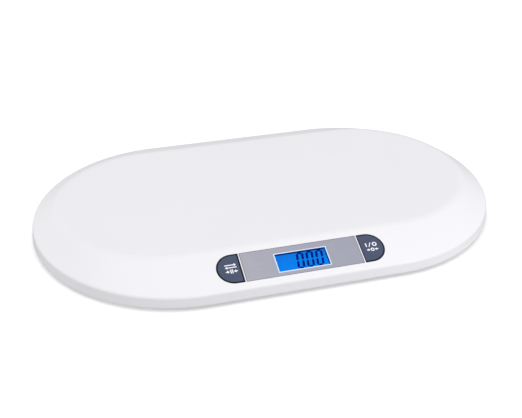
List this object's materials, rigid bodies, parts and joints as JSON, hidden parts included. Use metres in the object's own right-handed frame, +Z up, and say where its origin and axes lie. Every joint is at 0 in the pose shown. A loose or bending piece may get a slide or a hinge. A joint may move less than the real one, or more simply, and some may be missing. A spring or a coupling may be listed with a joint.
{
  "type": "animal weighing scale",
  "caption": "Low oval platform scale for small animals, with a sloping front face that carries a backlit number display between two push buttons.",
  "frame": {"origin": "on the floor, under the middle of the oval outline", "axes": "+X to the right along the length, -Y to the front where the display is, +Z up"},
  "size_m": [0.5548, 0.337, 0.0355],
  "materials": {
    "cover_white": "smooth satin-gloss moulded plastic",
    "base_white": "fine moulded texture",
    "fascia_silver": "silver-grey satin panel with fine brushing",
    "button_grey": "satin blue-grey",
    "window_clear": "clear acrylic",
    "lcd_glass": "display glass",
    "backlight_blue": "lit light guide",
    "frame_white": "moulded",
    "zebra_rubber": "striped conductive rubber",
    "board_green": "solder mask",
    "chip_black": "potting resin",
    "socket_cream": "moulded",
    "screw_steel": "nickel-plated steel",
    "contact_nickel": "nickel-plated spring steel",
    "lead_grey": "soft lead jacket",
    "switch_black": "moulded",
    "plunger_white": "moulded",
    "battery_jacket": "plain printed jacket",
    "cell_steel": "stamped strain plate",
    "foot_grey": "moulded",
    "pad_rubber": "soft non-slip rubber"
  },
  "bodies": {
    "scale_body": {"top_cover": "cover_white", "base_cover": "base_white", "display_fascia": "fascia_silver", "display_window": "window_clear", "lcd_panel": "lcd_glass", "lcd_frame": "frame_white", "lcd_backlight": "backlight_blue", "zebra_connector": "zebra_rubber", "main_board": "board_green", "processor_chip": "chip_black", "board_components": "chip_black", "lead_sockets": "socket_cream", "board_screws": "screw_steel", "cover_screws": "screw_steel", "battery_plates": "contact_nickel", "battery_springs": "contact_nickel", "battery_lead": "lead_grey", "left_switch": "switch_black", "right_switch": "switch_black", "battery_1": "battery_jacket", "battery_2": "battery_jacket", "battery_3": "battery_jacket", "battery_4": "battery_jacket", "load_cell_front_left": "cell_steel", "cell_retainer_front_left": "frame_white", "foot_front_left": "foot_grey", "foot_pad_front_left": "pad_rubber", "load_cell_lead_front_left": "lead_grey", "load_cell_front_right": "cell_steel", "cell_retainer_front_right": "frame_white", "foot_front_right": "foot_grey", "foot_pad_front_right": "pad_rubber", "load_cell_lead_front_right": "lead_grey", "load_cell_back_left": "cell_steel", "cell_retainer_back_left": "frame_white", "foot_back_left": "foot_grey", "foot_pad_back_left": "pad_rubber", "load_cell_lead_back_left": "lead_grey", "load_cell_back_right": "cell_steel", "cell_retainer_back_right": "frame_white", "foot_back_right": "foot_grey", "foot_pad_back_right": "pad_rubber", "load_cell_lead_back_right": "lead_grey"},
    "left_button": {"left_button": "button_grey", "left_switch_plunger": "plunger_white"},
    "right_button": {"right_button": "button_grey", "right_switch_plunger": "plunger_white"},
    "battery_door": {"battery_door": "base_white"}
  },
  "joints": [
    {"name": "left_button_press", "type": "slide", "parent": "scale_body", "child": "left_button", "axis": [0, 0.3431, -0.9393], "range_m": [0, 0.0005], "stiffness_N_per_m": 3000},
    {"name": "right_button_press", "type": "slide", "parent": "scale_body", "child": "right_button", "axis": [0, 0.3431, -0.9393], "range_m": [0, 0.0005], "stiffness_N_per_m": 3000},
    {"name": "battery_door_hinge", "type": "hinge", "parent": "scale_body", "child": "battery_door", "pos_m": [0, -0.0048, 0.003], "axis": [1, 0, 0], "range_deg": [0, 60]}
  ]
}
